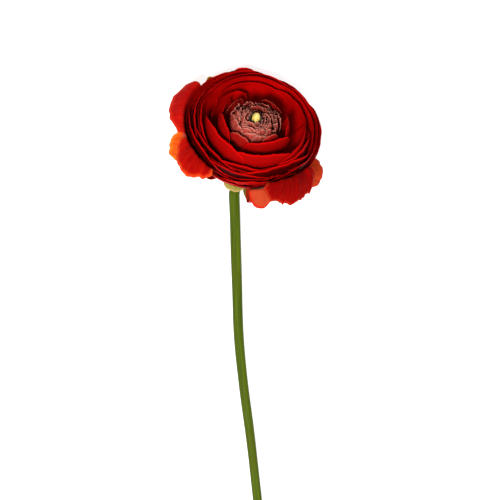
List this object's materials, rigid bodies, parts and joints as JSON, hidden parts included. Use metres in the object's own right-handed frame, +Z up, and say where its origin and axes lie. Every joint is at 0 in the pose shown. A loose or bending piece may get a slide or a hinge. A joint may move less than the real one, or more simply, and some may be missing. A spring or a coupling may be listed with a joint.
{
  "type": "persian buttercup flower",
  "caption": "Cut persian buttercup flower: a bowl of nested petals round a pale bud, with loose guard petals and sepals, on a bent green stem, lying on its side.",
  "frame": {"origin": "on the surface, under the middle of the flower's bounding box", "axes": "+Z up from the surface; the stem lies along Y with its cut end at -Y and the bloom at +Y; +X is the bloom's right when it is looked down on with the bloom away from the reader"},
  "size_m": [0.075, 0.2392, 0.0504],
  "materials": {
    "stem_green": "matte living stem with fine ribs along it",
    "carpel_yellow": "matte, pale yellow",
    "sepal_green": "matte, yellow green with fine hairs",
    "guard_petal_red": "satin, bright red turning orange at the edges and salmon on the back",
    "petal_red": "satin, deep red with fine veins",
    "heart_petal_pink": "satin, dusty pink edges on red"
  },
  "bodies": {
    "root": {"stem": "stem_green", "receptacle": "stem_green", "carpel_head": "carpel_yellow", "sepal_1": "sepal_green", "sepal_2": "sepal_green", "sepal_3": "sepal_green", "sepal_4": "sepal_green", "sepal_5": "sepal_green", "guard_petal_1": "guard_petal_red", "guard_petal_2": "guard_petal_red", "guard_petal_3": "guard_petal_red", "guard_petal_4": "guard_petal_red", "guard_petal_5": "guard_petal_red", "guard_petal_6": "guard_petal_red", "guard_petal_7": "guard_petal_red", "guard_petal_8": "guard_petal_red", "outer_petal_01": "petal_red", "outer_petal_02": "petal_red", "outer_petal_03": "petal_red", "outer_petal_04": "petal_red", "outer_petal_05": "petal_red", "outer_petal_06": "petal_red", "outer_petal_07": "petal_red", "outer_petal_08": "petal_red", "outer_petal_09": "petal_red", "outer_petal_10": "petal_red", "outer_petal_11": "petal_red", "outer_petal_12": "petal_red", "outer_petal_13": "petal_red", "outer_petal_14": "petal_red", "outer_petal_15": "petal_red", "outer_petal_16": "petal_red", "outer_petal_17": "petal_red", "outer_petal_18": "petal_red", "outer_petal_19": "petal_red", "outer_petal_20": "petal_red", "middle_petal_01": "petal_red", "middle_petal_02": "petal_red", "middle_petal_03": "petal_red", "middle_petal_04": "petal_red", "middle_petal_05": "petal_red", "middle_petal_06": "petal_red", "middle_petal_07": "petal_red", "middle_petal_08": "petal_red", "middle_petal_09": "petal_red", "middle_petal_10": "petal_red", "heart_petal_01": "heart_petal_pink", "heart_petal_02": "heart_petal_pink", "heart_petal_03": "heart_petal_pink", "heart_petal_04": "heart_petal_pink", "heart_petal_05": "heart_petal_pink", "heart_petal_06": "heart_petal_pink", "heart_petal_07": "heart_petal_pink", "heart_petal_08": "heart_petal_pink", "heart_petal_09": "heart_petal_pink", "heart_petal_10": "heart_petal_pink", "heart_petal_11": "heart_petal_pink", "heart_petal_12": "heart_petal_pink", "heart_petal_13": "heart_petal_pink", "heart_petal_14": "heart_petal_pink"}
  },
  "joints": []
}
